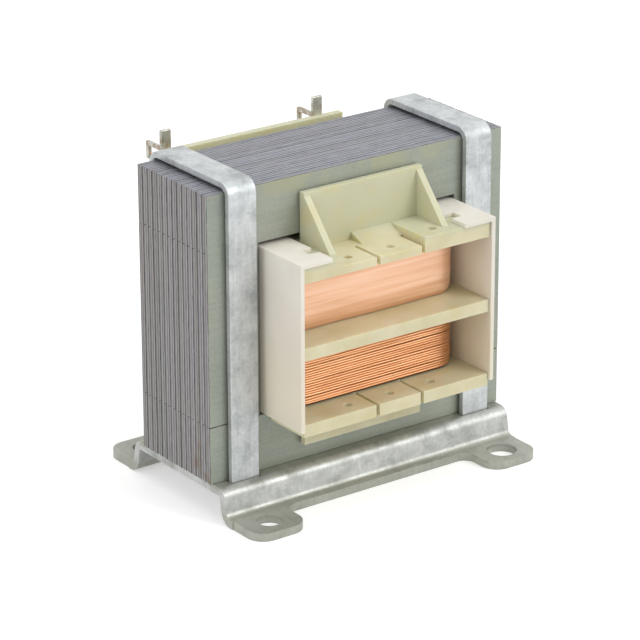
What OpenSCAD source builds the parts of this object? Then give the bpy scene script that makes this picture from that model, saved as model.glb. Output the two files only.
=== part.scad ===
// Laminated chassis transformer: an interleaved E and I core on a folded
// foot plate, held down by two straps, with a three-flange winding former.
// Millimetres. Z is up, Y runs through the stack, X runs along the core face.
// The origin lies on the fixing surface, in the middle of the four foot holes.

/* [Core] */
// Width of the lamination stack across both outer legs
core_w = 42; // [40:0.5:46]
// Height of the lamination stack
core_h = 35; // [33:0.5:40]
// Width of the middle leg that carries the coils
mid_leg_w = 14; // [12:0.5:15]
// Width of each outer leg
outer_leg_w = 7; // [6:0.25:7.5]
// Height of the top and bottom yokes
yoke_h = 7; // [6:0.25:7.5]
// Thickness of one lamination
lam_t = 0.5; // [0.35:0.05:0.65]
// Number of laminations, one E and one I in each
lam_count = 28; // [20:1:28]
// Air gap left where an E meets its I
joint_gap = 0.04; // [0:0.01:0.1]
// How far every other lamination sits out of line
stagger = 0.05; // [0:0.01:0.1]

/* [Foot plate] */
// Thickness of the folded sheet
foot_t = 1; // [0.8:0.1:1.2]
// How far the plate stops short of the stack at each end
foot_inset = 0.3; // [-1:0.1:1.5]
// Height of the platform's top face above the fixing surface
foot_h = 4.3; // [4:0.1:6]
// Flat platform in front of and behind the stack, before the bend
platform_lip = 1.1; // [1.1:0.1:2]
// Inside radius of the bend at the platform
top_bend_r = 0.3; // [0.2:0.05:0.6]
// Inside radius of the bend at the flange
low_bend_r = 0.8; // [0.5:0.1:1]
// Lean of the folded wall away from upright, in degrees
wall_lean = 10; // [4:1:14]
// Flat part of the long flange past the lower bend
flange_lip = 0.45; // [0.3:0.05:1.5]
// Distance of a foot hole's centre from the plate's end
hole_end_x = 3.7; // [3.6:0.1:5]
// Distance of a foot hole's centre in front of the stack or behind it
hole_out_y = 6; // [5.75:0.25:8]
// Diameter of the two foot holes on the left
hole_d_left = 3; // [2.6:0.1:3.4]
// Diameter of the two foot holes on the right
hole_d_right = 3.6; // [3:0.1:3.8]
// Width of each lug along the core
lug_w = 7.2; // [6.4:0.1:8]
// Metal between a foot hole's centre and the lug's front edge
lug_reach = 3; // [2.6:0.1:4]
// Radius of the lug's outer corners
lug_corner_r = 2.2; // [1:0.1:2.5]
// Radius of the fillet between lug and flange
lug_fillet_r = 1.4; // [0.6:0.1:1.8]

/* [Straps] */
// Width of a strap
strap_w = 3.8; // [3:0.1:4.6]
// Thickness of a strap
strap_t = 0.75; // [0.5:0.05:0.8]
// Distance of a strap's outer edge from the side of the stack
strap_inset = 2.3; // [1.9:0.1:3.1]
// Space between a strap and the stack
strap_gap = 0.3; // [0.2:0.02:0.35]
// Inside radius of a strap's upper bends
strap_bend_r = 0.9; // [0.7:0.05:1]
// Inside radius of the fold under the platform
fold_r = 0.3; // [0.25:0.05:0.5]
// Length of the tail folded flat under the platform
tail_len = 3; // [1.5:0.1:4]
// Play of a strap in its slot, on each side
slot_play = 0.15; // [0.05:0.05:0.25]

/* [Winding former] */
// Wall of the tube round the middle leg
tube_wall = 0.8; // [0.6:0.1:1]
// Play between the tube and the laminations
tube_play = 0.2; // [0.15:0.05:0.3]
// How far the flanges stand out of the core in front and behind
overhang = 7.7; // [7:0.1:9]
// Thickness of the top flange with its terminal blocks
top_flange_t = 1.9; // [1.2:0.1:2.2]
// Thickness of the middle flange
mid_flange_t = 1.5; // [0.8:0.1:2]
// Thickness of the bottom flange
low_flange_t = 0.8; // [0.6:0.1:1.4]
// Depth of the bottom flange's blocks below the flange, outside the core
low_block_t = 0.7; // [0.3:0.1:1]
// Space between the bottom flange and the lower yoke
low_play = 0.2; // [0.1:0.05:0.4]
// Space between the top flange and the upper yoke
top_play = 0.9; // [0.7:0.1:1.2]
// Width of the wire slots
slot_w = 0.5; // [0.4:0.05:0.9]
// Length of the wire slots, in from the edge
slot_len = 4.6; // [3:0.1:5]
// Distance of the wire slots from the middle of the blocks
slot_x = 3.2; // [2.4:0.1:4]
// How far the blocks' slots and holes sit to the right of the middle
cut_shift = 0.4; // [-0.6:0.1:0.6]
// Distance between the pin holes
pin_pitch = 6; // [5:0.1:7]
// Diameter of the pin holes
pin_hole_d = 1.1; // [0.8:0.1:1.4]
// Distance of the pin holes from the flange's edge
pin_inset = 2.1; // [0.9:0.1:3]
// Depth of the recess in the top flange's front blocks
recess_deep = 0.9; // [0.2:0.1:1.2]
// Reach of the ramp at the foot of the front panel
ramp_reach = 2.4; // [1:0.1:4]
// Distance of the ramp's left end from the middle
ramp_x = 1.8; // [0:0.1:2.4]
// Height of the upper insulating panels above the top flange
panel_h = 6; // [4:0.1:7]
// Height of the lower insulating panels below the bottom flange
low_panel_h = 5.15; // [3:0.05:6.5]
// How far the insulating panels reach past the tube on each side
panel_side = 0.35; // [-0.5:0.05:0.75]
// Thickness of the insulating panels
panel_t = 0.85; // [0.6:0.05:1.2]
// Thickness of the two gussets on each upper panel
gusset_t = 0.8; // [0.6:0.1:1.2]
// Reach of the gussets along the flange
gusset_reach = 5; // [3:0.1:5.5]
// Height of the gussets where they meet the panel
gusset_h = 5.65; // [3.5:0.05:5.65]
// Height of the terminal wall above the top flange
wall_h = 5.9; // [3:0.1:7]
// How far the terminal walls stop short of the flanges at each end
wall_inset = 0.25; // [0.05:0.05:0.5]
// Thickness of the terminal walls
wall_t = 1; // [0.8:0.1:1.4]

/* [Side shields] */
// Thickness of the side shields
shield_t = 0.5; // [0.3:0.05:0.6]
// Play between a shield and the core or the former
shield_play = 0.1; // [0.05:0.05:0.2]
// How far a shield stands past the flanges
shield_proud = 0.3; // [0:0.1:0.8]
// Width of a shield's tab over the top flange
tab_w = 4.4; // [3:0.1:4.6]
// Length of the hooked notch in the tab
notch_len = 1.6; // [1:0.1:2]
// Depth of the hooked notch in the tab
notch_deep = 1.4; // [0.8:0.1:2]

/* [Coils] */
// Space between the coils and the side shields
coil_side_gap = 0.95; // [0.75:0.05:2.2]
// How far the coils stand out of the core's face
coil_proud = 3.5; // [2.5:0.1:5]
// Outer corner radius of the coils
coil_corner_r = 2.8; // [1.5:0.1:3.5]
// Diameter of the heavy wire in the lower chamber
heavy_wire_d = 0.3; // [0.25:0.01:0.6]
// Height of one turn's ridge on the heavy coil
ridge_h = 0.21; // [0.15:0.01:0.23]
// Depth of the grooves between the turns of the heavy coil
groove_deep = 0.1; // [0.05:0.01:0.14]
// Diameter of the lead-out of the fine wire
fine_lead_d = 0.2; // [0.15:0.01:0.4]
// Play between a coil and the flanges
coil_play = 0.1; // [0.05:0.05:0.2]

/* [Terminals] */
// Width of a solder tag
tag_w = 1.4; // [1:0.1:2]
// Thickness of a solder tag
tag_t = 0.5; // [0.3:0.05:0.6]
// Height of a solder tag above the terminal wall
tag_h = 2.3; // [1.5:0.1:4]
// Length of a solder tag's root behind the wall
tag_root = 2; // [1:0.1:4]
// Distance of the left terminals from the wall's end
tag_in_left = 1.1; // [0.8:0.1:4]
// Distance of the right terminals from the wall's end
tag_in_right = 3; // [1:0.1:4]
// Width of the terminal's hook
hook_d = 0.55; // [0.4:0.05:0.7]
// Reach of the hook behind the tag
hook_reach = 3.6; // [2:0.1:5]
// Length of the hook's hanging leg
hook_drop = 2.2; // [1.5:0.1:4]
// Height above the end of a hook's leg where its lead-out is soldered
solder_up = 0.9; // [0.5:0.1:1.2]
// Distance of the lead-outs from the side of their coil
lead_in = 3.4; // [3:0.1:6]
// Distance of the lead-outs behind the flanges
lead_clear = 0.9; // [0.8:0.1:1.5]

/* [Hidden] */
eps = 0.01;
lead_lap = 0.05;
SMOOTH = 64;
FAR = 4;
E_NAMES = [for (i = [1:lam_count]) str("e_lamination_", i < 10 ? "0" : "", i)];

// Core levels and window
stack = lam_t * lam_count;
core_y = stack / 2;
core_z = foot_h;
window_w = (core_w - mid_leg_w) / 2 - outer_leg_w;
window_x = mid_leg_w / 2 + window_w;
window_z0 = core_z + yoke_h;
window_z1 = core_z + core_h - yoke_h;

// Foot plate section, worked out from the stack outwards
foot_len = core_w - 2 * foot_inset;
hole_x = foot_len / 2 - hole_end_x;
hole_y = core_y + hole_out_y;
flange_z1 = foot_t;
bend_out_r = top_bend_r + foot_t;
bend_y = core_y + platform_lip;
bend_z = foot_h - bend_out_r;
low_bend_z = flange_z1 + low_bend_r;
wall_run_z0 = bend_z + bend_out_r * sin(wall_lean);
wall_run_z1 = low_bend_z - low_bend_r * sin(wall_lean);
wall_len = (wall_run_z0 - wall_run_z1) / cos(wall_lean);
low_bend_y = bend_y + bend_out_r * cos(wall_lean)
    + wall_len * sin(wall_lean) + low_bend_r * cos(wall_lean);
flange_y = low_bend_y + flange_lip;
lug_y = hole_y + lug_reach;

// Strap places and levels
strap_x = core_w / 2 - strap_inset - strap_w / 2;
strap_in_y = core_y + strap_gap;
strap_in_z = core_z + core_h + stagger + strap_gap;
under_z = foot_h - foot_t;

// Former levels, from the window and the flanges
low_flange_z0 = window_z0 + stagger + low_play;
low_flange_z1 = low_flange_z0 + low_flange_t;
top_flange_z1 = window_z1 - stagger - top_play;
top_flange_z0 = top_flange_z1 - top_flange_t;
chamber_h = (top_flange_z0 - low_flange_z1 - mid_flange_t) / 2;
mid_flange_z0 = low_flange_z1 + chamber_h;
mid_flange_z1 = mid_flange_z0 + mid_flange_t;
tube_in_x = mid_leg_w / 2 + stagger + tube_play;
tube_in_y = core_y + tube_play;
tube_out_x = tube_in_x + tube_wall;
tube_out_y = tube_in_y + tube_wall;
shield_x1 = window_x - stagger - shield_play;
shield_x0 = shield_x1 - shield_t;
flange_x = shield_x0 - shield_play;
panel_w = 2 * (tube_out_x + panel_side);
wall_w = 2 * (flange_x - wall_inset);
tag_x_left = tag_in_left - wall_w / 2;
tag_x_right = wall_w / 2 - tag_in_right;
flange_edge_y = core_y + overhang;
wall_y1 = flange_edge_y;
wall_y0 = wall_y1 - wall_t;
wall_z1 = top_flange_z1 + wall_h;
low_block_z0 = low_flange_z0 - low_block_t;
low_wall_z0 = low_flange_z0 - wall_h;
hook_leg_y = wall_y1 + tag_t + hook_reach - hook_d;

// Coils
coil_half_x = shield_x0 - coil_side_gap;
coil_y = core_y + coil_proud;
lead_x = coil_half_x - lead_in;
heavy_turns = floor((chamber_h - 2 * coil_play) / heavy_wire_d);
heavy_pitch = (chamber_h - 2 * coil_play) / heavy_turns;

module mirror_y() { children(); mirror([0, 1, 0]) children(); }
module mirror_x() { children(); mirror([1, 0, 0]) children(); }

// A quarter-style ring sector in the YZ section plane, from angle a0 to a1.
module bend_sector(r_in, t, a0, a1) {
    r_far = FAR * (r_in + t);
    intersection() {
        difference() {
            circle(r = r_in + t, $fn = SMOOTH);
            circle(r = r_in, $fn = SMOOTH);
        }
        polygon([[0, 0],
                 [r_far * cos(a0), r_far * sin(a0)],
                 [r_far * cos((a0 + a1) / 2), r_far * sin((a0 + a1) / 2)],
                 [r_far * cos(a1), r_far * sin(a1)]]);
    }
}

// Stands a YZ section up and runs it along X, centred.
module along_x(length) {
    translate([-length / 2, 0, 0]) rotate([90, 0, 90]) linear_extrude(length) children();
}

/* ---- Core ---- */

// Every other lamination sits out of line by the stagger.
function lam_shift(i) = (i % 2 == 0) ? -stagger / 2 : stagger / 2;
function lam_y(i) = -core_y + i * lam_t;

module e_outline() {
    difference() {
        translate([-core_w / 2, yoke_h + joint_gap / 2]) square([core_w, core_h - yoke_h - joint_gap / 2]);
        mirror_x() translate([mid_leg_w / 2, yoke_h]) square([window_w, core_h - 2 * yoke_h]);
    }
}
module i_outline() { translate([-core_w / 2, 0]) square([core_w, yoke_h - joint_gap / 2]); }

// Places an outline as lamination i. Even ones have the E on top.
module place_lamination(i) {
    flip = (i % 2 == 1);
    translate([lam_shift(i), lam_y(i) + lam_t, core_z + (flip ? core_h : 0)])
        rotate([90, 0, 0]) linear_extrude(lam_t)
            mirror([0, flip ? 1 : 0]) children();
}
module e_lamination(i) { color([0.5, 0.5, 0.48]) place_lamination(i) e_outline(); }
module i_laminations(first) {
    color([0.54, 0.54, 0.52])
        for (i = [first:2:lam_count - 1]) place_lamination(i) i_outline();
}

/* ---- Foot plate ---- */

module foot_half_section() {
    translate([0, under_z]) square([bend_y, foot_t]);
    translate([bend_y, bend_z]) bend_sector(top_bend_r, foot_t, wall_lean, 90);
    translate([bend_y + top_bend_r * cos(wall_lean), bend_z + top_bend_r * sin(wall_lean)])
        rotate(wall_lean - 90) translate([-eps, 0]) square([wall_len + 2 * eps, foot_t]);
    translate([low_bend_y, low_bend_z])
        bend_sector(low_bend_r, foot_t, 180 + wall_lean, 270);
    translate([low_bend_y, 0]) square([flange_lip, foot_t]);
}

// Outline of one lug and its fillets on the flange, for a corner at +X and +Y.
module lug_outline(hole_d) {
    x0 = hole_x - lug_w / 2;
    x1 = hole_x + lug_w / 2;
    c = lug_corner_r;
    difference() {
        union() {
            translate([x0, low_bend_y]) square([lug_w, lug_y - low_bend_y - c]);
            translate([x0 + c, low_bend_y]) square([lug_w - 2 * c, lug_y - low_bend_y]);
            for (x = [x0 + c, x1 - c]) translate([x, lug_y - c]) circle(r = c, $fn = SMOOTH);
            translate([x0 - lug_fillet_r, low_bend_y])
                square([lug_fillet_r + eps, flange_lip + lug_fillet_r]);
        }
        translate([x0 - lug_fillet_r, flange_y + lug_fillet_r]) circle(r = lug_fillet_r, $fn = SMOOTH);
        translate([hole_x, hole_y]) circle(d = hole_d, $fn = SMOOTH);
    }
}

// Slot that a strap's leg drops through, with its tail's fold on the inner side.
module strap_slot() {
    translate([-strap_w / 2 - slot_play, core_y + strap_gap - fold_r, under_z - eps])
        cube([strap_w + 2 * slot_play, strap_t + fold_r + slot_play, foot_t + 2 * eps]);
}

module foot_plate() {
    color([0.78, 0.79, 0.79])
    difference() {
        union() {
            mirror_y() along_x(foot_len) foot_half_section();
            mirror_y() {
                linear_extrude(foot_t) lug_outline(hole_d_right);
                linear_extrude(foot_t) mirror([1, 0]) lug_outline(hole_d_left);
            }
        }
        mirror_x() mirror_y() translate([strap_x, 0, 0]) strap_slot();
    }
}

/* ---- Straps ---- */

module strap_half_section() {
    top_z = strap_in_z;
    leg_z1 = top_z - strap_bend_r;
    leg_z0 = under_z + fold_r;
    translate([0, top_z]) square([strap_in_y - strap_bend_r, strap_t]);
    translate([strap_in_y - strap_bend_r, leg_z1]) bend_sector(strap_bend_r, strap_t, 0, 90);
    translate([strap_in_y, leg_z0]) square([strap_t, leg_z1 - leg_z0]);
    translate([strap_in_y - fold_r, leg_z0]) bend_sector(fold_r, strap_t, 270, 360);
    translate([strap_in_y - fold_r - tail_len, leg_z0 - fold_r - strap_t]) square([tail_len, strap_t]);
}
module strap(x) {
    color([0.82, 0.83, 0.84])
        translate([x, 0, 0]) mirror_y() along_x(strap_w) strap_half_section();
}

/* ---- Winding former ---- */

module former_flange(z0, z1, edge_y) {
    translate([-flange_x, -edge_y, z0]) cube([2 * flange_x, 2 * edge_y, z1 - z0]);
}

// Wire slots and pin holes at the +Y edge of a flange between heights z0 and z1.
module block_cuts(z0, z1) {
    translate([cut_shift, 0, z0 - eps]) {
        mirror_x() translate([slot_x - slot_w / 2, flange_edge_y - slot_len, 0])
            cube([slot_w, slot_len + eps, z1 - z0 + 2 * eps]);
        for (k = [-1:1])
            translate([k * pin_pitch, flange_edge_y - pin_inset, 0])
                cylinder(d = pin_hole_d, h = z1 - z0 + 2 * eps, $fn = SMOOTH);
    }
}

// Recess over the left and middle blocks at the front of the top flange.
module front_recess() {
    x0 = gusset_t - panel_w / 2;
    x1 = cut_shift + slot_x + slot_w / 2;
    translate([x0, -flange_edge_y - eps, top_flange_z1 - recess_deep])
        cube([x1 - x0, flange_edge_y - tube_in_y - panel_t + eps, recess_deep + eps]);
}

// Wedge that fills the recess at the foot of the front panel.
module ramp() {
    x1 = cut_shift + slot_x + slot_w / 2 + eps;
    foot_y = -tube_in_y - panel_t;
    translate([-ramp_x, 0, 0]) rotate([90, 0, 90]) linear_extrude(x1 + ramp_x)
        polygon([[foot_y + eps, top_flange_z1 - recess_deep - eps],
                 [foot_y - ramp_reach, top_flange_z1 - recess_deep - eps],
                 [foot_y + eps, top_flange_z1]]);
}

// Insulating panel in front of a yoke, standing up from z0.
module panel(z0, h) {
    translate([-panel_w / 2, tube_in_y, z0]) cube([panel_w, panel_t, h]);
}

module gussets(z0) {
    mirror_x() translate([panel_w / 2 - gusset_t, tube_in_y + panel_t, z0])
        rotate([90, 0, 90]) linear_extrude(gusset_t)
            polygon([[-eps, -eps], [gusset_reach, -eps], [-eps, min(gusset_h, panel_h)]]);
}

module former() {
    color([0.88, 0.84, 0.68])
    union() {
        former_body();
        ramp();
    }
}
module former_body() {
    difference() {
        union() {
            translate([-tube_out_x, -tube_out_y, low_flange_z0])
                cube([2 * tube_out_x, 2 * tube_out_y, top_flange_z1 - low_flange_z0]);
            former_flange(low_flange_z0, low_flange_z1, flange_edge_y);
            former_flange(mid_flange_z0, mid_flange_z1, flange_edge_y);
            former_flange(top_flange_z0, top_flange_z1, flange_edge_y);
            mirror_y() translate([-flange_x, tube_in_y + panel_t, low_block_z0])
                cube([2 * flange_x, flange_edge_y - tube_in_y - panel_t, low_block_t + eps]);
            mirror_y() panel(top_flange_z1 - eps, panel_h + eps);
            mirror_y() panel(low_flange_z0 - low_panel_h, low_panel_h + eps);
            mirror_y() gussets(top_flange_z1);
            translate([-wall_w / 2, wall_y0, top_flange_z1 - eps]) cube([wall_w, wall_t, wall_h + eps]);
            translate([-wall_w / 2, wall_y0, low_wall_z0])
                cube([wall_w, wall_t, low_block_z0 - low_wall_z0 + eps]);
        }
        translate([-tube_in_x, -tube_in_y, low_flange_z0 - eps])
            cube([2 * tube_in_x, 2 * tube_in_y, top_flange_z1 - low_flange_z0 + 2 * eps]);
        mirror_y() {
            block_cuts(top_flange_z0, top_flange_z1);
            block_cuts(low_block_z0, low_flange_z1);
        }
        front_recess();
    }
}

/* ---- Side shields ---- */

module shield() {
    edge_y = flange_edge_y + shield_proud;
    tab_z0 = top_flange_z1;
    tab_x0 = shield_x1 - tab_w;
    notch_y = core_y + overhang / 2;
    color([0.94, 0.92, 0.87])
    difference() {
        union() {
            translate([shield_x0, -edge_y, low_flange_z0])
                cube([shield_t, 2 * edge_y, tab_z0 - low_flange_z0 + eps]);
            translate([tab_x0, -edge_y, tab_z0])
                cube([tab_w, 2 * edge_y - wall_t - 2 * shield_proud, shield_t]);
        }
        translate([tab_x0 - eps, -notch_y - notch_len, tab_z0 - eps])
            cube([notch_deep, notch_len, shield_t + 2 * eps]);
    }
}

/* ---- Coils ---- */

// Rounded rectangle that every coil fills, grown outwards by r.
module coil_outline(r) {
    x = coil_half_x + r;
    y = coil_y + r;
    c = coil_corner_r + r;
    translate([-x + c, -y]) square([2 * x - 2 * c, 2 * y]);
    translate([-x, -y + c]) square([2 * x, 2 * y - 2 * c]);
    for (sx = [-1, 1], sy = [-1, 1])
        translate([sx * (x - c), sy * (y - c)]) circle(r = c, $fn = SMOOTH);
}
module coil_bore() {
    square([2 * (tube_out_x + coil_play), 2 * (tube_out_y + coil_play)], center = true);
}
module coil_body(z0, h, r) {
    translate([0, 0, z0]) linear_extrude(h) difference() {
        coil_outline(r);
        coil_bore();
    }
}

module fine_coil() {
    color([0.88, 0.62, 0.42])
        coil_body(mid_flange_z1 + coil_play, chamber_h - 2 * coil_play, 0);
}

// The heavy wire shows as one ridge for each turn.
module heavy_coil() {
    z0 = low_flange_z1 + coil_play;
    ridge_z = (heavy_pitch - ridge_h) / 2;
    color([0.72, 0.45, 0.27])
    union() {
        coil_body(z0, chamber_h - 2 * coil_play, -groove_deep);
        for (k = [0:heavy_turns - 1])
            coil_body(z0 + k * heavy_pitch + ridge_z, ridge_h, 0);
    }
}

/* ---- Terminals and lead-outs ---- */

// Solder tag against the back of a terminal wall whose edge is at z = 0. Its
// hook runs backwards from the tag and hangs down behind the flanges.
module terminal() {
    y0 = wall_y1;
    color([0.75, 0.74, 0.7])
    union() {
        translate([-tag_w / 2, y0, -tag_root]) cube([tag_w, tag_t, tag_h + tag_root]);
        translate([-hook_d / 2, y0 + tag_t - eps, -hook_d]) cube([hook_d, hook_reach + eps, hook_d]);
        translate([-hook_d / 2, hook_leg_y, -hook_drop]) cube([hook_d, hook_d, hook_drop]);
    }
}
module terminal_top(x) { translate([x, 0, wall_z1]) terminal(); }
module terminal_bottom(x) { translate([x, 0, low_wall_z0]) mirror([0, 0, 1]) terminal(); }

// A straight piece of wire from p to q, with eight sides.
module wire(p, q, d, lap) {
    v = q - p;
    len = norm(v);
    translate(p) rotate([0, acos(v[2] / len), atan2(v[1], v[0])]) cylinder(d = d, h = len + lap, $fn = 8);
}

// Lead-out from a coil's back face to the leg of a terminal's hook.
module lead(x_coil, x_tag, coil_z, hook_z, d) {
    start = [x_coil, coil_y, coil_z];
    corner = [x_coil, flange_edge_y + lead_clear, coil_z];
    end = [x_tag, hook_leg_y - d, hook_z];
    color([0.78, 0.5, 0.3]) union() {
        wire(start, corner, d, lead_lap);
        wire(corner, end, d, 0);
    }
}
module fine_lead(side, x_tag) {
    lead(side * lead_x, x_tag, mid_flange_z1 + chamber_h / 2, wall_z1 - hook_drop + solder_up, fine_lead_d);
}
module heavy_lead(side, x_tag) {
    lead(side * lead_x, x_tag, low_flange_z1 + chamber_h / 2,
         low_wall_z0 + hook_drop - solder_up, heavy_wire_d);
}

/* ---- Nodes ---- */
foot_plate();
strap(-strap_x);  // strap_left
strap(strap_x);  // strap_right
former();
mirror([1, 0, 0]) shield();  // shield_left
shield();  // shield_right
fine_coil();
heavy_coil();
terminal_top(tag_x_left);  // terminal_top_left
terminal_top(tag_x_right);  // terminal_top_right
terminal_bottom(tag_x_left);  // terminal_bottom_left
terminal_bottom(tag_x_right);  // terminal_bottom_right
fine_lead(-1, tag_x_left);  // fine_lead_left
fine_lead(1, tag_x_right);  // fine_lead_right
heavy_lead(-1, tag_x_left);  // heavy_lead_left
heavy_lead(1, tag_x_right);  // heavy_lead_right
i_laminations(0);  // i_laminations_bottom
i_laminations(1);  // i_laminations_top
for (i = [0:lam_count - 1])
    e_lamination(i);
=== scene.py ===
# %% [markdown]
# # A small laminated chassis transformer
# Thin E and I sheets are stacked into a core, two straps hold them on a folded
# foot plate, and a moulded former with two coils sits on the middle leg. The
# solids of every piece are loaded first and stay fixed. The lesson then dresses
# them one by one: a piece whose edges catch the light is rebuilt with small
# rounded edges, and each finish is mixed from noise and ramps.

# %% Load the solids
import math
import random

import bmesh
import bpy
from mathutils import Matrix, Vector, noise


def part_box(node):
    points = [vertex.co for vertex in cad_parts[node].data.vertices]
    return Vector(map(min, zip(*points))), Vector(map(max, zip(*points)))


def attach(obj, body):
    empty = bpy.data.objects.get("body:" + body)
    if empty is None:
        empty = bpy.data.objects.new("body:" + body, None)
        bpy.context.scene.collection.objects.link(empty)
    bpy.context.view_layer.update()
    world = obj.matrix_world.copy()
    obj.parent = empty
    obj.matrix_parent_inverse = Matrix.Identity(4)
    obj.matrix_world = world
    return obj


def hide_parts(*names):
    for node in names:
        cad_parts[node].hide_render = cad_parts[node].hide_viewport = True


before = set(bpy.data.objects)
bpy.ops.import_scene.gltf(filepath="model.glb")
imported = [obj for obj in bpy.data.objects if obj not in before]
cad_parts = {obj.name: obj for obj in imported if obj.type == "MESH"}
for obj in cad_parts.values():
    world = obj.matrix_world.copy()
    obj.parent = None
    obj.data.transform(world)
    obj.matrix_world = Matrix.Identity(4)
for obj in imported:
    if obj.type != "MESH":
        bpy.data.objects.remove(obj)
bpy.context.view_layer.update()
MM = 0.001

# %% [markdown]
# ## The camera
# A long lens from a little above shows three sides with almost parallel edges,
# as in a catalogue. The camera gets a place and an aim, and one small turn
# about its own line of sight levels the view.

# %% Camera
CAMERA_PLACE = Vector((-0.2160, -0.29795, 0.1616))
CAMERA_AIM = Vector((-0.00037, 0.00003, 0.01760))
CAMERA_ROLL = math.radians(-0.18)

lens = bpy.data.cameras.new("catalogue_lens")
lens.lens = 188.2
lens.sensor_width = 36.0
camera = bpy.data.objects.new("catalogue_camera", lens)
bpy.context.scene.collection.objects.link(camera)
sight = (CAMERA_AIM - CAMERA_PLACE).to_track_quat("-Z", "Y").to_matrix()
camera.rotation_euler = (sight @ Matrix.Rotation(CAMERA_ROLL, 3, "Z")).to_euler()
camera.location = CAMERA_PLACE
bpy.context.scene.camera = camera
print("camera stands", round((CAMERA_AIM - CAMERA_PLACE).length, 3), "m away")

# %% [markdown]
# ## Floor and light
# A pale floor carries a soft shadow. It adds a little white of its own for the
# camera and for reflections, so that the surroundings stay white without more
# light on the transformer. The world gives an even glow, and three large panels
# give the soft highlights that show where metal bends.

# %% Floor, world and lamps
FLOOR_HALF = 1.5
FLOOR_Z = -0.02 * MM
floor_mesh = bpy.data.meshes.new("floor")
floor_corners = [(x * FLOOR_HALF, y * FLOOR_HALF, FLOOR_Z)
                 for x, y in ((-1, -1), (1, -1), (1, 1), (-1, 1))]
floor_mesh.from_pydata(floor_corners, [], [(0, 1, 2, 3)])
floor = bpy.data.objects.new("floor", floor_mesh)
bpy.context.scene.collection.objects.link(floor)


def white_seen_by_camera(tree):
    """1 for camera, mirror and glass rays, and 0 for the rays that light other things."""
    path = tree.nodes.new("ShaderNodeLightPath")
    seen = tree.nodes.new("ShaderNodeMath")
    seen.operation = "MAXIMUM"
    tree.links.new(path.outputs["Is Camera Ray"], seen.inputs[0])
    tree.links.new(path.outputs["Is Glossy Ray"], seen.inputs[1])
    either = tree.nodes.new("ShaderNodeMath")
    either.operation = "MAXIMUM"
    tree.links.new(seen.outputs[0], either.inputs[0])
    tree.links.new(path.outputs["Is Transmission Ray"], either.inputs[1])
    return either.outputs[0]


floor_paint = bpy.data.materials.new("pale_floor")
floor_paint.use_nodes = True
tree = floor_paint.node_tree
tree.nodes.clear()
matt = tree.nodes.new("ShaderNodeBsdfDiffuse")
matt.inputs["Color"].default_value = (0.78, 0.78, 0.78, 1)
own_white = tree.nodes.new("ShaderNodeEmission")
FLOOR_WHITE = 0.42
lift = tree.nodes.new("ShaderNodeMath")
lift.operation = "MULTIPLY"
lift.inputs[1].default_value = FLOOR_WHITE
tree.links.new(white_seen_by_camera(tree), lift.inputs[0])
tree.links.new(lift.outputs[0], own_white.inputs["Strength"])
both = tree.nodes.new("ShaderNodeAddShader")
tree.links.new(matt.outputs[0], both.inputs[0])
tree.links.new(own_white.outputs[0], both.inputs[1])
surface = tree.nodes.new("ShaderNodeOutputMaterial")
tree.links.new(both.outputs[0], surface.inputs["Surface"])
floor_mesh.materials.append(floor_paint)

world = bpy.data.worlds.new("studio")
bpy.context.scene.world = world
world.use_nodes = True
tree = world.node_tree
glow = tree.nodes["Background"]
glow.inputs["Color"].default_value = (1, 1, 1, 1)
strength = tree.nodes.new("ShaderNodeMath")
strength.operation = "MULTIPLY_ADD"
tree.links.new(white_seen_by_camera(tree), strength.inputs[0])
WORLD_GLOW = 0.62
strength.inputs[1].default_value = 1 - WORLD_GLOW
strength.inputs[2].default_value = WORLD_GLOW
tree.links.new(strength.outputs[0], glow.inputs["Strength"])


def softbox(name, place, size, power):
    lamp = bpy.data.lights.new(name, "AREA")
    lamp.shape = "RECTANGLE"
    lamp.size, lamp.size_y = size
    lamp.energy = power
    holder = bpy.data.objects.new(name, lamp)
    holder.location = place
    holder.rotation_euler = (-Vector(place)).to_track_quat("-Z", "Y").to_euler()
    bpy.context.scene.collection.objects.link(holder)


softbox("key_panel", (0.30, -0.50, 0.42), (0.35, 0.45), 1.9)
softbox("left_panel", (-0.62, -0.10, 0.30), (0.30, 0.40), 0.8)
softbox("top_panel", (0.0, 0.05, 0.75), (0.55, 0.35), 1.2)
bpy.context.scene.view_settings.view_transform = "Standard"

# %% [markdown]
# ## Mixing a finish
# Every finish starts from the principled shader. These helpers add one node
# each: noise at a size in millimetres, a ramp between colours, a mix of two
# colours, and a bump. Positions come from the object's own coordinates, which
# here are metres in the frame of the solids, so a finish can follow a height or
# a depth on the real piece.

# %% Helpers for finishes


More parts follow.
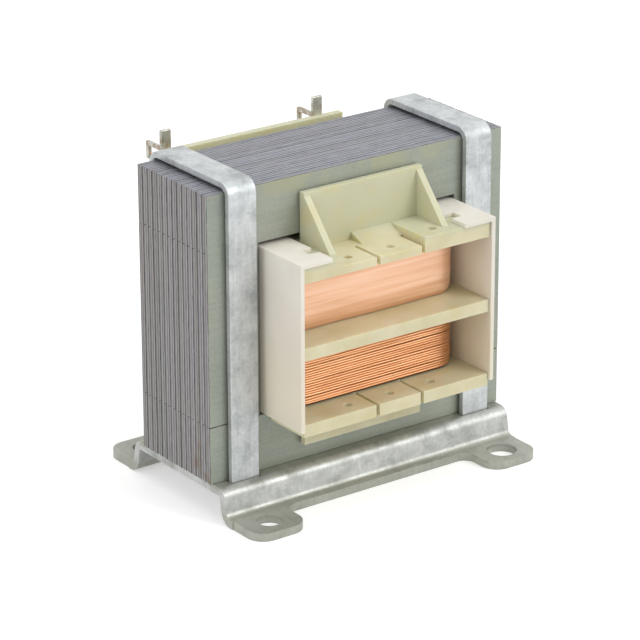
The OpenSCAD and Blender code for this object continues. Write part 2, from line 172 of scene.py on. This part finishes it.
class Finish:
    """A principled material that is built up node by node."""

    def __init__(self, name, roughness, metallic=0.0, specular=0.5):
        self.material = bpy.data.materials.new(name)
        self.material.use_nodes = True
        self.tree = self.material.node_tree
        self.shader = self.tree.nodes["Principled BSDF"]
        self.shader.inputs["Roughness"].default_value = roughness
        self.shader.inputs["Metallic"].default_value = metallic
        self.shader.inputs["Specular IOR Level"].default_value = specular
        self.where = self.add("ShaderNodeTexCoord").outputs["Object"]
        self.height = None

    def add(self, kind, **settings):
        node = self.tree.nodes.new(kind)
        for key, value in settings.items():
            setattr(node, key, value)
        return node

    def put(self, socket, value):
        if hasattr(value, "is_output"):
            self.tree.links.new(value, socket)
        elif hasattr(value, "__len__") and len(value) == 3 and socket.type == "RGBA":
            socket.default_value = (*value, 1)
        else:
            socket.default_value = value

    def math(self, operation, a, b=0.0, c=0.0):
        node = self.add("ShaderNodeMath", operation=operation)
        for socket, value in zip(node.inputs, (a, b, c)):
            self.put(socket, value)
        return node.outputs[0]

    def axis(self, letter):
        """The position along X, Y or Z in millimetres."""
        parts = self.add("ShaderNodeSeparateXYZ")
        self.put(parts.inputs[0], self.where)
        return self.math("MULTIPLY", parts.outputs[letter], 1 / MM)

    def noise(self, size_mm, detail=3.0, rough=0.5, stretch=(1, 1, 1), offset=0.0, kind="FBM"):
        """Soft noise whose spots are about size_mm across, stretched by the given factors."""
        turn = self.add("ShaderNodeMapping")
        self.put(turn.inputs["Vector"], self.where)
        turn.inputs["Scale"].default_value = [1 / (size_mm * MM * s) for s in stretch]
        turn.inputs["Location"].default_value = (offset, offset * 0.7, -offset)
        field = self.add("ShaderNodeTexNoise", noise_type=kind)
        self.put(field.inputs["Vector"], turn.outputs[0])
        field.inputs["Scale"].default_value = 1.0
        field.inputs["Detail"].default_value = detail
        field.inputs["Roughness"].default_value = rough
        return field.outputs[0]

    def ramp(self, value, stops):
        """Colours along a value. Each stop is (place, grey) or (place, (r, g, b))."""
        node = self.add("ShaderNodeValToRGB")
        self.put(node.inputs[0], value)
        bar = node.color_ramp
        while len(bar.elements) < len(stops):
            bar.elements.new(0.5)
        for element, (place, colour) in zip(bar.elements, stops):
            element.position = place
            grey = isinstance(colour, (int, float))
            element.color = (colour, colour, colour, 1) if grey else (*colour, 1)
        return node.outputs[0]

    def band(self, value, low, high, soft):
        """1 between low and high, falling to 0 over soft."""
        rise = self.add("ShaderNodeMapRange", interpolation_type="SMOOTHSTEP")
        for key, number in (("From Min", low - soft), ("From Max", low)):
            rise.inputs[key].default_value = number
        self.put(rise.inputs["Value"], value)
        fall = self.add("ShaderNodeMapRange", interpolation_type="SMOOTHSTEP")
        for key, number in (("From Min", high), ("From Max", high + soft),
                            ("To Min", 1), ("To Max", 0)):
            fall.inputs[key].default_value = number
        self.put(fall.inputs["Value"], value)
        return self.math("MULTIPLY", rise.outputs[0], fall.outputs[0])

    def mix(self, share, a, b, blend="MIX"):
        node = self.add("ShaderNodeMix", data_type="RGBA", blend_type=blend)
        self.put(node.inputs[0], share)
        self.put(node.inputs[6], a)
        self.put(node.inputs[7], b)
        return node.outputs[2]

    def colour(self, value):
        self.put(self.shader.inputs["Base Color"], value)

    def rough(self, value):
        self.put(self.shader.inputs["Roughness"], value)

    def bump(self, height, depth_mm):
        """Adds to the relief. A height of 1 stands depth_mm above a height of 0."""
        node = self.add("ShaderNodeBump")
        node.inputs["Strength"].default_value = 1.0
        node.inputs["Distance"].default_value = depth_mm * MM
        self.put(node.inputs["Height"], height)
        if self.height is not None:
            self.put(node.inputs["Normal"], self.height)
        self.height = node.outputs[0]
        self.put(self.shader.inputs["Normal"], self.height)


print("finish helpers ready")

# %% [markdown]
# ## Core finishes
# Core sheet is rolled steel with a thin grey-green oxide on its faces. A punch
# cuts the outline, so an edge shows a burnished band, a torn band and a dark
# line to the next sheet. That line is the burr and also painted shade of the narrow
# gap between sheets. Both bands repeat once a sheet, and a sheet is half a
# millimetre thick. Each sheet also has a tone of its own. Edges that face up get
# a lighter, bluer copy of the edge finish, which is painted light from above.

# %% Core finishes
SHEETS = 28
stack_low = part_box("e_lamination_01")[0].y
SHEET_T = (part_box("e_lamination_28")[1].y - stack_low) / SHEETS
FAR_UP = 60
VARNISH_Z = 38.2


def sheet_face():
    f = Finish("sheet_oxide", 0.42, metallic=0.25, specular=0.4)
    cloud = f.noise(9, detail=4)
    base = f.ramp(cloud, [(0.3, (0.290, 0.318, 0.268)), (0.55, (0.345, 0.372, 0.315)),
                          (0.75, (0.385, 0.405, 0.345))])
    fine = f.noise(0.35, detail=2)
    base = f.mix(0.35, base, f.ramp(fine, [(0.3, 0.78), (0.7, 1.12)]), "MULTIPLY")
    roll = f.noise(0.5, detail=2, stretch=(40, 1, 1), offset=3)
    base = f.mix(0.25, base, f.ramp(roll, [(0.35, 0.85), (0.65, 1.1)]), "MULTIPLY")
    top = f.band(f.axis("Z"), VARNISH_Z, FAR_UP, 1.4)
    patch = f.ramp(f.noise(3.5, detail=4, offset=5), [(0.45, 0.0), (0.62, 1.0)])
    varnish = f.math("MULTIPLY", top, patch)
    base = f.mix(f.math("MULTIPLY", varnish, 0.45), base, (0.42, 0.40, 0.22))
    f.colour(base)
    f.rough(f.ramp(cloud, [(0.3, 0.36), (0.7, 0.52)]))
    f.bump(fine, 0.012)
    return f.material


def sheet_edge(name, light, mid, dark):
    f = Finish(name, 0.5, metallic=0.45, specular=0.4)
    across = f.math("MULTIPLY", f.math("SUBTRACT", f.axis("Y"), stack_low / MM), MM / SHEET_T)
    number = f.math("FLOOR", across)
    part = f.math("FRACT", across)
    wander = f.math("SUBTRACT", f.noise(1.6, detail=3, stretch=(1, 0.3, 1)), 0.5)
    part = f.math("ADD", part, f.math("MULTIPLY", wander, 0.25))
    # The dark stops at each border of a sheet are the burr and also painted shade of the narrow gap
    # to the next sheet.
    bands = f.ramp(part, [(0.03, dark), (0.16, light), (0.42, light),
                          (0.56, mid), (0.86, mid), (0.97, dark)])
    shade = f.add("ShaderNodeTexWhiteNoise", noise_dimensions="1D")
    f.put(shade.inputs["W"], number)
    bands = f.mix(0.6, bands, f.ramp(shade.outputs["Value"], [(0.0, 0.78), (1.0, 1.15)]), "MULTIPLY")
    tint = f.ramp(shade.outputs["Value"], [(0.0, (0.98, 1.0, 0.96)), (0.5, (1.04, 1.0, 1.02)),
                                           (1.0, (0.97, 1.0, 1.05))])
    bands = f.mix(1.0, bands, tint, "MULTIPLY")
    torn = f.noise(0.3, detail=3, rough=0.65, stretch=(1.5, 0.5, 2.5), offset=2)
    bands = f.mix(0.55, bands, f.ramp(torn, [(0.3, 0.62), (0.7, 1.25)]), "MULTIPLY")
    stain = f.ramp(f.noise(2.2, detail=3, offset=9), [(0.5, 0.0), (0.68, 1.0)])
    low = f.band(f.axis("Z"), 4, 8, 8)
    front = f.band(f.axis("Y"), -8, -5, 3)
    stain = f.math("MULTIPLY", stain, f.math("MULTIPLY", low, front))
    bands = f.mix(f.math("MULTIPLY", stain, 0.6), bands, (0.20, 0.13, 0.07))
    f.colour(bands)
    f.rough(f.ramp(torn, [(0.3, 0.4), (0.7, 0.62)]))
    f.bump(torn, 0.03)
    return f.material


face_finish = sheet_face()
side_finish = sheet_edge("sheet_cut_side", light=(0.36, 0.35, 0.34),
                         mid=(0.22, 0.212, 0.212), dark=(0.045, 0.045, 0.05))
# Edges that face up get a lighter, bluer copy of the edge finish: painted light from above.
painted_lit_top_finish = sheet_edge("sheet_cut_top_painted_lit", light=(0.37, 0.38, 0.41),
                        mid=(0.25, 0.26, 0.29), dark=(0.06, 0.065, 0.08))
print("sheet thickness in mm:", round(SHEET_T / MM, 3))

# %% [markdown]
# ## Rebuilding a solid with rounded edges
# A real edge is never perfectly sharp, and its small round is what catches the
# light. This helper copies a solid's mesh, welds its corners, dissolves the
# flat triangles into whole faces and bevels every edge that turns sharply.
# The copy stands for the solid, and the solid itself is left as it is.

# %% Helpers for pieces
SHARP = math.radians(30)


def copy_solid(node, weld=0.004 * MM):
    bm = bmesh.new()
    bm.from_mesh(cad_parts[node].data)
    bmesh.ops.remove_doubles(bm, verts=bm.verts, dist=weld)
    bmesh.ops.dissolve_limit(bm, angle_limit=math.radians(0.6), verts=bm.verts, edges=bm.edges)
    return bm


def round_edges(bm, width, segments=2):
    edges = [e for e in bm.edges if len(e.link_faces) == 2 and e.calc_face_angle(0) > SHARP]
    bmesh.ops.bevel(bm, geom=edges, offset=width, offset_type="OFFSET", segments=segments,
                    profile=0.5, affect="EDGES", clamp_overlap=True)


def finish_piece(bm, name, materials, replaces=(), choose=None, smooth=True):
    """Turns a bmesh into a piece that rides on the body and stands for the named solids."""
    mesh = bpy.data.meshes.new(name)
    bm.normal_update()
    for face in bm.faces:
        face.smooth = smooth
        if choose:
            face.material_index = choose(face)
    bm.to_mesh(mesh)
    bm.free()
    for material in materials:
        mesh.materials.append(material)
    piece = bpy.data.objects.new(name, mesh)
    bpy.context.scene.collection.objects.link(piece)
    if smooth:
        mesh.set_sharp_from_angle(angle=math.radians(40))
        weighted = piece.modifiers.new("even_shading", "WEIGHTED_NORMAL")
        weighted.keep_sharp = True
    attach(piece, "root")
    if replaces:
        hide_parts(*replaces)
    return piece


print("piece helpers ready")

# %% [markdown]
# ## The stack of sheets
# Each E sheet and each I sheet is a piece cut from one solid. Its outline is
# drawn in by a few hundredths of a millimetre, a little differently for each
# sheet, because no two punched sheets line up perfectly. The small bevels leave
# the fine grooves between the sheets, and the gap where an E meets its I.

# %% E and I sheets
draw = random.Random(42)
UNEVEN = 0.035 * MM
BURR = 0.05 * MM
NEAR = 0.01 * MM


def uneven(corners, amount):
    """Draws the ends and the outer edge of one sheet in by a little."""
    lo = Vector([min(v.co[k] for v in corners) for k in range(3)])
    hi = Vector([max(v.co[k] for v in corners) for k in range(3)])
    left, right = draw.uniform(0, amount), draw.uniform(0, amount)
    rim = draw.uniform(0, amount)
    for v in corners:
        if v.co.x < lo.x + NEAR:
            v.co.x += left
        if v.co.x > hi.x - NEAR:
            v.co.x -= right
        if v.co.z > core_top - NEAR:
            v.co.z -= rim


def face_or_edge(face):
    if abs(face.normal.y) > 0.8:
        return 0
    # Faces that point up take the lighter, bluer top copy, which is painted light.
    return 2 if face.normal.z > 0.8 else 1


core_top = max(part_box("e_lamination_01")[1].z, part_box("e_lamination_02")[1].z)
for i in range(1, SHEETS + 1):
    node = "e_lamination_%02d" % i
    bm = copy_solid(node)
    uneven(list(bm.verts), UNEVEN)
    round_edges(bm, BURR, segments=1)
    finish_piece(bm, "e_sheet_%02d" % i, (face_finish, side_finish, painted_lit_top_finish),
                 replaces=(node,), choose=face_or_edge, smooth=False)


def islands(bm):
    """The separate solids of a mesh, each as a list of its corners."""
    left, found = set(bm.verts), []
    while left:
        todo, island = [left.pop()], []
        while todo:
            corner = todo.pop()
            island.append(corner)
            for edge in corner.link_edges:
                other = edge.other_vert(corner)
                if other in left:
                    left.remove(other)
                    todo.append(other)
        found.append(island)
    return sorted(found, key=lambda isle: min(v.co.y for v in isle))


for group in ("i_laminations_top", "i_laminations_bottom"):
    bm = copy_solid(group)
    sheets = islands(bm)
    for sheet in sheets:
        uneven(sheet, UNEVEN)
    round_edges(bm, BURR, segments=1)
    finish_piece(bm, group.replace("laminations", "sheets"),
                 (face_finish, side_finish, painted_lit_top_finish), replaces=(group,),
                 choose=face_or_edge, smooth=False)
    print(group, "holds", len(sheets), "sheets")

# %% [markdown]
# ## Zinc-plated sheet
# The foot and the straps are bent from dull zinc-plated steel. The plating is
# cloudy, with pale bloom, darker handling marks and fine scratches. The plating
# turns a darker olive grey low on the foot and along its upper bend.

# %% Zinc finishes


def zinc(name, pale, mid, dark, seed):
    f = Finish(name, 0.42, metallic=0.55, specular=0.5)
    cloud = f.noise(2.6, detail=5, rough=0.6, offset=seed)
    base = f.ramp(cloud, [(0.32, dark), (0.48, mid), (0.66, pale)])
    spangle = f.noise(0.45, detail=3, rough=0.7, offset=seed + 3)
    base = f.mix(0.4, base, f.ramp(spangle, [(0.3, 0.7), (0.7, 1.16)]), "MULTIPLY")
    pit = f.ramp(f.noise(0.16, detail=2, offset=seed + 7), [(0.62, 1.0), (0.74, 0.55)])
    base = f.mix(0.5, base, pit, "MULTIPLY")
    f.rough(f.ramp(cloud, [(0.3, 0.5), (0.7, 0.36)]))
    f.bump(spangle, 0.02)
    return f, base


strap, base = zinc("strap_zinc", (0.66, 0.685, 0.69), (0.56, 0.585, 0.59), (0.42, 0.445, 0.45), 1)
scratch = strap.noise(0.25, detail=2, stretch=(1, 6, 24), offset=11)
base = strap.mix(0.3, base, strap.ramp(scratch, [(0.35, 0.8), (0.6, 1.06)]), "MULTIPLY")
strap.colour(base)
strap_finish = strap.material

foot, base = zinc("foot_zinc", (0.60, 0.61, 0.59), (0.50, 0.51, 0.49), (0.36, 0.37, 0.345), 21)
olive = foot.mix(foot.noise(1.2, detail=4, offset=4), (0.30, 0.31, 0.25), (0.42, 0.425, 0.36))
low_part = foot.band(foot.axis("Z"), -1, 1.02, 0.7)
depth = foot.math("ABSOLUTE", foot.axis("Y"))
bend_high = foot.band(foot.axis("Z"), 4.0, 5, 0.3)
bend_part = foot.math("MULTIPLY", foot.band(depth, 7.0, 8.1, 0.5), bend_high)
# heavy is the share of darker olive grey, low on the foot and along its upper bend.
heavy = foot.math("MAXIMUM", foot.math("MULTIPLY", low_part, 0.75),
                  foot.math("MULTIPLY", bend_part, 0.8))
base = foot.mix(heavy, base, olive)
streak = foot.noise(0.35, detail=2, stretch=(1, 8, 8), offset=2)
base = foot.mix(0.3, base, foot.ramp(streak, [(0.35, 0.82), (0.65, 1.1)]), "MULTIPLY")
rust = foot.ramp(foot.noise(1.1, detail=4, offset=31), [(0.66, 0.0), (0.74, 1.0)])
rusty = foot.math("MULTIPLY", foot.math("MULTIPLY", rust, low_part), 0.5)
base = foot.mix(rusty, base, (0.24, 0.17, 0.09))
foot.colour(base)
foot_finish = foot.material
print("zinc finishes:", strap_finish.name, foot_finish.name)

# %% [markdown]
# ## Foot plate and straps
# Both are copies of their solids with a fine round on every sheared edge. The
# bends themselves are already round in the solids.

# %% Foot plate and straps
bm = copy_solid("foot_plate")
round_edges(bm, 0.1 * MM)
finish_piece(bm, "folded_foot", (foot_finish,), replaces=("foot_plate",))
for side in ("left", "right"):
    bm = copy_solid("strap_" + side)
    round_edges(bm, 0.1 * MM)
    finish_piece(bm, "strap_band_" + side, (strap_finish,), replaces=("strap_" + side,))
print("foot and straps done")

# %% [markdown]
# ## Moulded former and side shields
# The former is cream nylon that lets some light through, and subsurface
# scattering with a short radius gives that. Thick places look warmer, and the
# thin upper walls are painted a darker, greener tint as painted shade.
# The shields are a warm white sheet.

# %% Former and shield finishes
f = Finish("former_nylon", 0.38, specular=0.45)
cloud = f.noise(4.5, detail=3)
base = f.ramp(cloud, [(0.3, (0.62, 0.575, 0.36)), (0.6, (0.70, 0.655, 0.45)),
                      (0.8, (0.74, 0.71, 0.53))])
THIN_WALLS_Z = 31.5
# Walls above THIN_WALLS_Z are painted a darker, greener tint: painted shade.
green = f.math("MULTIPLY", f.band(f.axis("Z"), THIN_WALLS_Z, FAR_UP, 1.0), 0.7)
base = f.mix(green, base, (0.56, 0.575, 0.42))
resin = f.ramp(f.noise(2.4, detail=4, offset=6), [(0.52, 0.0), (0.7, 1.0)])
base = f.mix(f.math("MULTIPLY", resin, 0.35), base, (0.66, 0.56, 0.27))
f.colour(base)
f.shader.inputs["Subsurface Weight"].default_value = 0.45
f.shader.inputs["Subsurface Radius"].default_value = (1.0, 0.8, 0.45)
f.shader.inputs["Subsurface Scale"].default_value = 1.2 * MM
f.bump(f.noise(0.5, detail=3), 0.01)
former_finish = f.material

f = Finish("shield_sheet", 0.55, specular=0.3)
cloud = f.noise(5, detail=3, stretch=(1, 1, 2))
base = f.ramp(cloud, [(0.3, (0.76, 0.71, 0.63)), (0.7, (0.83, 0.79, 0.71))])
low_part = f.band(f.axis("Z"), 0, 16, 10)
base = f.mix(f.math("MULTIPLY", low_part, 0.5), base, (0.78, 0.71, 0.52))
f.colour(base)
f.shader.inputs["Subsurface Weight"].default_value = 0.25
f.shader.inputs["Subsurface Radius"].default_value = (1.0, 0.8, 0.6)
f.shader.inputs["Subsurface Scale"].default_value = 0.8 * MM
f.bump(f.noise(0.4, detail=3), 0.008)
shield_finish = f.material

# %% Former and shields
bm = copy_solid("former")
round_edges(bm, 0.12 * MM)
finish_piece(bm, "moulded_former", (former_finish,), replaces=("former",))
for side in ("left", "right"):
    bm = copy_solid("shield_" + side)
    round_edges(bm, 0.08 * MM)
    finish_piece(bm, "shield_sheet_" + side, (shield_finish,), replaces=("shield_" + side,))
print("former and shields done")

# %% [markdown]
# ## Wound coils
# A coil follows a rounded rectangle round the middle leg. The heavy wire is
# swept as one tube that climbs all the way round, with a few wider gaps and a
# little wander, as hand-guided wire has. A body behind the turns stands for the
# layers below, and its very dark brown is painted shade between the turns. The
# fine wire is too thin to see turn by turn, so its outer layer is one skin with
# soft swells and fine streaks.

# %% The path round the middle leg
coil_low, coil_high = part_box("heavy_coil")
HALF_X, HALF_Y = coil_high.x, coil_high.y
CORNER = 2.8 * MM


def path_round_leg(inset, corner_steps=8, side_steps=8):
    """Points once round the coil with their outward directions, seen from above."""
    centre_x, centre_y, radius = HALF_X - CORNER, HALF_Y - CORNER, CORNER - inset
    corners = ((1, 1), (-1, 1), (-1, -1), (1, -1))
    path = []
    for quarter, (sx, sy) in enumerate(corners):
        for step in range(corner_steps + 1):
            angle = math.radians(90 * (quarter + step / corner_steps))
            out = Vector((math.cos(angle), math.sin(angle), 0))
            path.append((Vector((sx * centre_x, sy * centre_y, 0)) + radius * out, out))
        next_x, next_y = corners[(quarter + 1) % 4]
        start = path[-1][0]
        end = Vector((next_x * centre_x, next_y * centre_y, 0)) + radius * path[-1][1]
        for step in range(1, side_steps):
            path.append((start.lerp(end, step / side_steps), path[-1][1]))
    return path


def swell(point, size_mm, amount, seed):
    """Smooth wander between -amount and amount."""
    return amount * noise.noise(point / (size_mm * MM) + Vector((seed, 1.7 * seed, -seed)))


print("points once round:", len(path_round_leg(0)))

# %% Heavy wire
WIRE_D = 0.3 * MM
TURNS = 25
base_z = coil_low.z + WIRE_D / 2
climb = (coil_high.z - coil_low.z - WIRE_D) / (TURNS - 1)
path = path_round_leg(WIRE_D / 2)
RING = 8
steps = (TURNS - 1) * len(path) + 1
verts, faces = [], []
WIDE_GAPS = {4: 0.09, 9: 0.07, 15: 0.08, 20: 0.06}
CLOSER = -0.0135
lift, lifts = 0.0, []
for turn in range(TURNS):
    lift += WIDE_GAPS.get(turn, CLOSER) * MM
    lifts.append(lift)
for step in range(steps):
    turn, along = divmod(step, len(path))
    spot, out = path[along]
    share = along / len(path)
    after = lifts[min(turn + 1, TURNS - 1)]
    z = base_z + (turn + share) * climb + lifts[turn] * (1 - share) + after * share
    here = Vector((spot.x, spot.y, z))
    z += swell(here, 6, 0.05 * MM, 3.1 * turn)
    push = swell(here, 4, 0.05 * MM, 7.7 + turn) - 0.03 * MM
    if z < coil_low.z:
        z = coil_low.z + WIRE_D / 2
    for k in range(RING):
        angle = 2 * math.pi * k / RING
        reach = WIRE_D / 2 * math.cos(angle) + push
        rise = WIRE_D / 2 * math.sin(angle)
        verts.append((spot.x + out.x * reach, spot.y + out.y * reach, z + rise))
    if step:
        a, b = (step - 1) * RING, step * RING
        faces += [(a + k, a + (k + 1) % RING, b + (k + 1) % RING, b + k) for k in range(RING)]
faces += [tuple(range(RING)), tuple(range(steps * RING - 1, (steps - 1) * RING - 1, -1))]

f = Finish("heavy_wire_enamel", 0.3, metallic=0.75, specular=0.6)
tone = f.noise(1.6, detail=3, stretch=(6, 6, 0.3))
f.colour(f.ramp(tone, [(0.3, (0.58, 0.25, 0.10)), (0.5, (0.72, 0.36, 0.165)),
                       (0.72, (0.83, 0.47, 0.25))]))
f.shader.inputs["Coat Weight"].default_value = 0.5
f.shader.inputs["Coat Roughness"].default_value = 0.15
heavy_finish = f.material


def piece_from(verts, faces, name, materials, replaces=()):
    mesh = bpy.data.meshes.new(name)
    mesh.from_pydata(verts, [], faces)
    bm = bmesh.new()
    bm.from_mesh(mesh)
    bpy.data.meshes.remove(mesh)
    bmesh.ops.recalc_face_normals(bm, faces=bm.faces)
    return finish_piece(bm, name, materials, replaces)


piece_from(verts, faces, "heavy_wire_turns", (heavy_finish,), replaces=("heavy_coil",))
print("heavy wire turns:", TURNS)


# %% Layers below the heavy wire in painted shade, and the fine coil
SKIN_T = 0.8 * MM


def skin(name, material, low_z, high_z, inset, rows, shape, replaces=()):
    """A closed sleeve round the leg. shape(point, height) gives its swell."""
    path = path_round_leg(inset, side_steps=20)
    inner = path_round_leg(inset + SKIN_T, side_steps=20)
    count = len(path)
    verts, faces = [], []
    for row in range(rows + 1):
        height = row / rows
        z = low_z + (high_z - low_z) * height
        for spot, out in path:
            here = Vector((spot.x, spot.y, z))
            here += out * shape(here, height)
            verts.append(here)
    for z in (high_z, low_z):
        verts += [Vector((spot.x, spot.y, z)) for spot, out in inner]
    loops = [row * count for row in range(rows + 3)] + [0]
    for a, b in zip(loops, loops[1:]):
        for k in range(count):
            n = (k + 1) % count
            faces.append((a + k, a + n, b + n, b + k))
    return piece_from(verts, faces, name, (material,), replaces)


# The layers below are painted a very dark brown, as painted shade between the turns.
f = Finish("deep_wire_painted_shade", 0.5, metallic=0.5)
tone = f.noise(0.8, detail=3, stretch=(4, 4, 0.3))
f.colour(f.ramp(tone, [(0.3, (0.10, 0.035, 0.012)), (0.7, (0.24, 0.10, 0.04))]))
BELOW_GAP = 0.05 * MM
skin("heavy_wire_below_painted_shade", f.material, coil_low.z + BELOW_GAP,
     coil_high.z - BELOW_GAP, WIRE_D * 0.75, 4, lambda here, height: 0.0)

fine_low, fine_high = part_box("fine_coil")


def fine_shape(here, height):
    """The fine coil is a little fuller at mid height and drawn in at its rims."""
    rim = abs(2 * height - 1) ** 8
    drawn_in = (-0.35 * rim - 0.08) * MM
    long_way = Vector((here.x * 0.25, here.y * 0.25, here.z))
    return drawn_in + swell(here, 5, 0.10 * MM, 2.0) + swell(long_way, 0.7, 0.035 * MM, 9.0)


f = Finish("fine_wire_enamel", 0.38, metallic=0.6, specular=0.5)
tone = f.noise(1.0, detail=4, stretch=(14, 14, 0.5))
f.colour(f.ramp(tone, [(0.3, (0.80, 0.43, 0.25)), (0.5, (0.88, 0.52, 0.33)),
                       (0.72, (0.93, 0.60, 0.42))]))
f.rough(f.ramp(tone, [(0.3, 0.42), (0.7, 0.32)]))
f.bump(tone, 0.03)
f.shader.inputs["Coat Weight"].default_value = 0.6
f.shader.inputs["Coat Roughness"].default_value = 0.2
fine_finish = f.material
skin("fine_wire_skin", fine_finish, fine_low.z, fine_high.z, 0.0, 40, fine_shape,
     replaces=("fine_coil",))
print("fine coil height in mm:", round((fine_high.z - fine_low.z) / MM, 2))

# %% [markdown]
# ## Terminals and lead-outs
# A terminal is a flat tag with a hook behind it, where a wire is wound on and
# soldered. Solder leaves a cloudy grey coat, and brown flux stays at the root
# where the tag meets the former. The tags are copies of their solids with well
# rounded edges, because solder rounds every corner. The lead-outs take the
# enamel of the coil that they leave.

# %% Terminals and lead-outs
f = Finish("tag_solder", 0.36, metallic=0.6, specular=0.5)
cloud = f.noise(1.1, detail=4, rough=0.6, offset=13)
base = f.ramp(cloud, [(0.32, (0.38, 0.365, 0.31)), (0.52, (0.56, 0.55, 0.49)),
                      (0.7, (0.70, 0.69, 0.63))])
grain = f.noise(0.25, detail=2, offset=17)
base = f.mix(0.35, base, f.ramp(grain, [(0.3, 0.75), (0.7, 1.12)]), "MULTIPLY")
root_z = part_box("former")[1].z / MM
FLUX_RISE = 0.7
at_root = f.band(f.axis("Z"), root_z - FLUX_RISE, root_z + FLUX_RISE, FLUX_RISE)
spots = f.ramp(f.noise(0.9, detail=3, offset=19), [(0.42, 0.0), (0.6, 1.0)])
flux = f.math("MULTIPLY", at_root, spots)
base = f.mix(f.math("MULTIPLY", flux, 0.7), base, (0.27, 0.16, 0.06))
f.colour(base)
f.rough(f.ramp(cloud, [(0.3, 0.46), (0.7, 0.28)]))
f.bump(cloud, 0.06)
f.bump(grain, 0.015)
tag_finish = f.material

for place in ("top_left", "top_right", "bottom_left", "bottom_right"):
    bm = copy_solid("terminal_" + place)
    round_edges(bm, 0.13 * MM, segments=3)
    finish_piece(bm, "soldered_tag_" + place, (tag_finish,), replaces=("terminal_" + place,))
for coil, enamel in (("fine", fine_finish), ("heavy", heavy_finish)):
    for side in ("left", "right"):
        node = "%s_lead_%s" % (coil, side)
        bm = copy_solid(node)
        round_edges(bm, 0.02 * MM)
        finish_piece(bm, "%s_lead_out_%s" % (coil, side), (enamel,), replaces=(node,))
